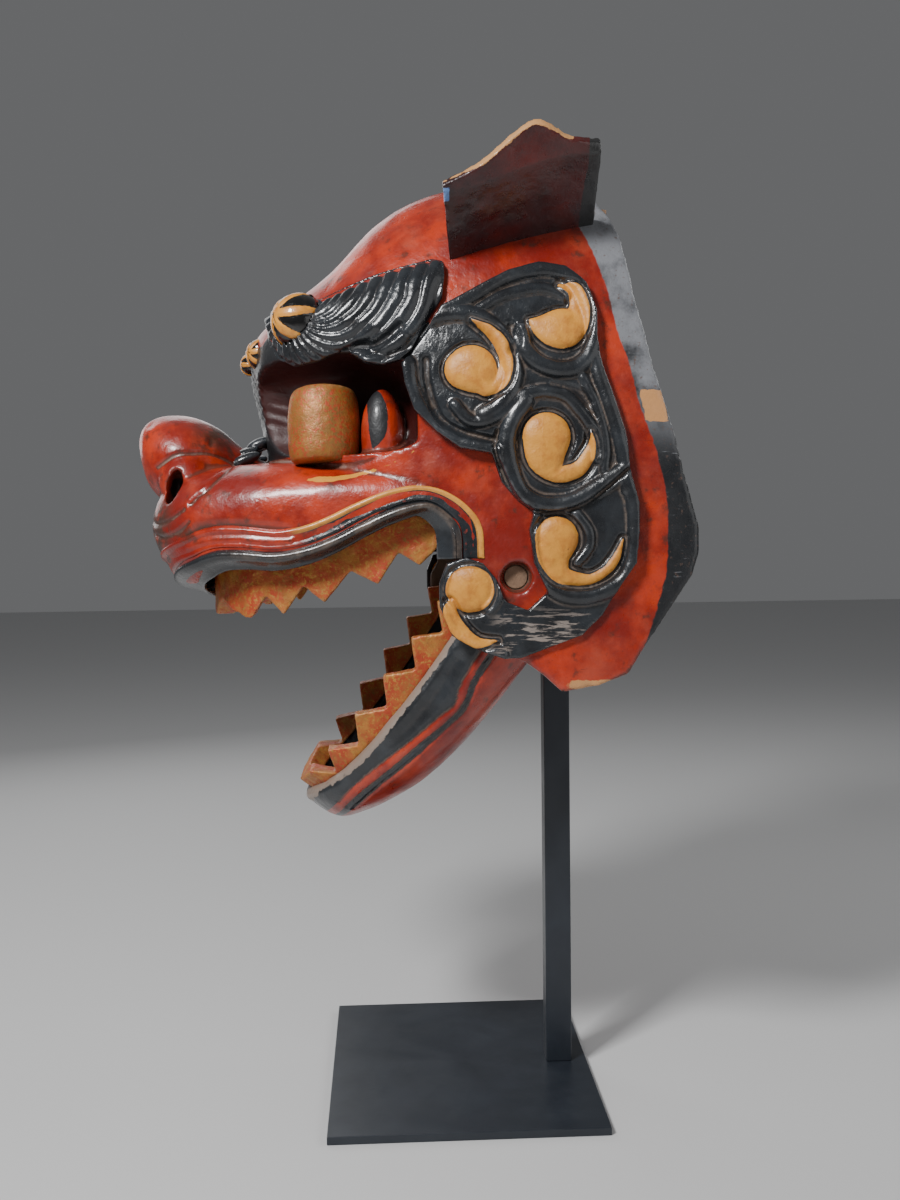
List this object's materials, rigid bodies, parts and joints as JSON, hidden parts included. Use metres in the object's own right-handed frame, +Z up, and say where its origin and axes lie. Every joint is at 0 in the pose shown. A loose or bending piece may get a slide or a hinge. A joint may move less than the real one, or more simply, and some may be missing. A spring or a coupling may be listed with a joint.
{
  "type": "lion dance head on a display stand",
  "caption": "Carved wooden lion dance head, hollow, with a hinged lower jaw, raised curls, balls on the brow and leaning ears, on a steel plate and post stand.",
  "frame": {"origin": "middle of the underside of the stand's base plate", "axes": "+Z up, the face looks towards -Y, and the head's own left side is towards +X"},
  "size_m": [0.32, 0.395, 0.6913],
  "materials": {
    "black_steel": "satin black paint on steel",
    "bare_wood": "bare darkened wood",
    "red_lacquer": "worn glossy orange-red lacquer on carved wood",
    "black_lacquer": "black lacquer on carved wood, with gilt curls",
    "ball_lacquer": "black lacquer with gilt streaks",
    "gilding": "worn gilding over red lacquer",
    "dark_red_lacquer": "dark red lacquer, worn at the edge"
  },
  "bodies": {
    "head_on_stand": {"base_plate": "black_steel", "post": "black_steel", "head_rest": "bare_wood", "upper_head": "red_lacquer", "mane_curls_left": "black_lacquer", "mane_curls_right": "black_lacquer", "brow_hair_left": "black_lacquer", "brow_hair_right": "black_lacquer", "brow_ball_outer_left": "ball_lacquer", "brow_ball_outer_right": "ball_lacquer", "brow_ball_inner_left": "ball_lacquer", "brow_ball_inner_right": "ball_lacquer", "brow_ball_middle": "ball_lacquer", "eye_left": "gilding", "eye_right": "gilding", "ear_left": "dark_red_lacquer", "ear_right": "dark_red_lacquer", "upper_teeth": "gilding"},
    "lower_jaw": {"lower_jaw": "red_lacquer", "lower_teeth": "gilding", "hinge_rod": "bare_wood"}
  },
  "joints": [
    {"name": "jaw_hinge", "type": "hinge", "parent": "head_on_stand", "child": "lower_jaw", "pos_m": [0, 0.035, 0.394], "axis": [-1, 0, 0], "range_deg": [0, 36]}
  ]
}
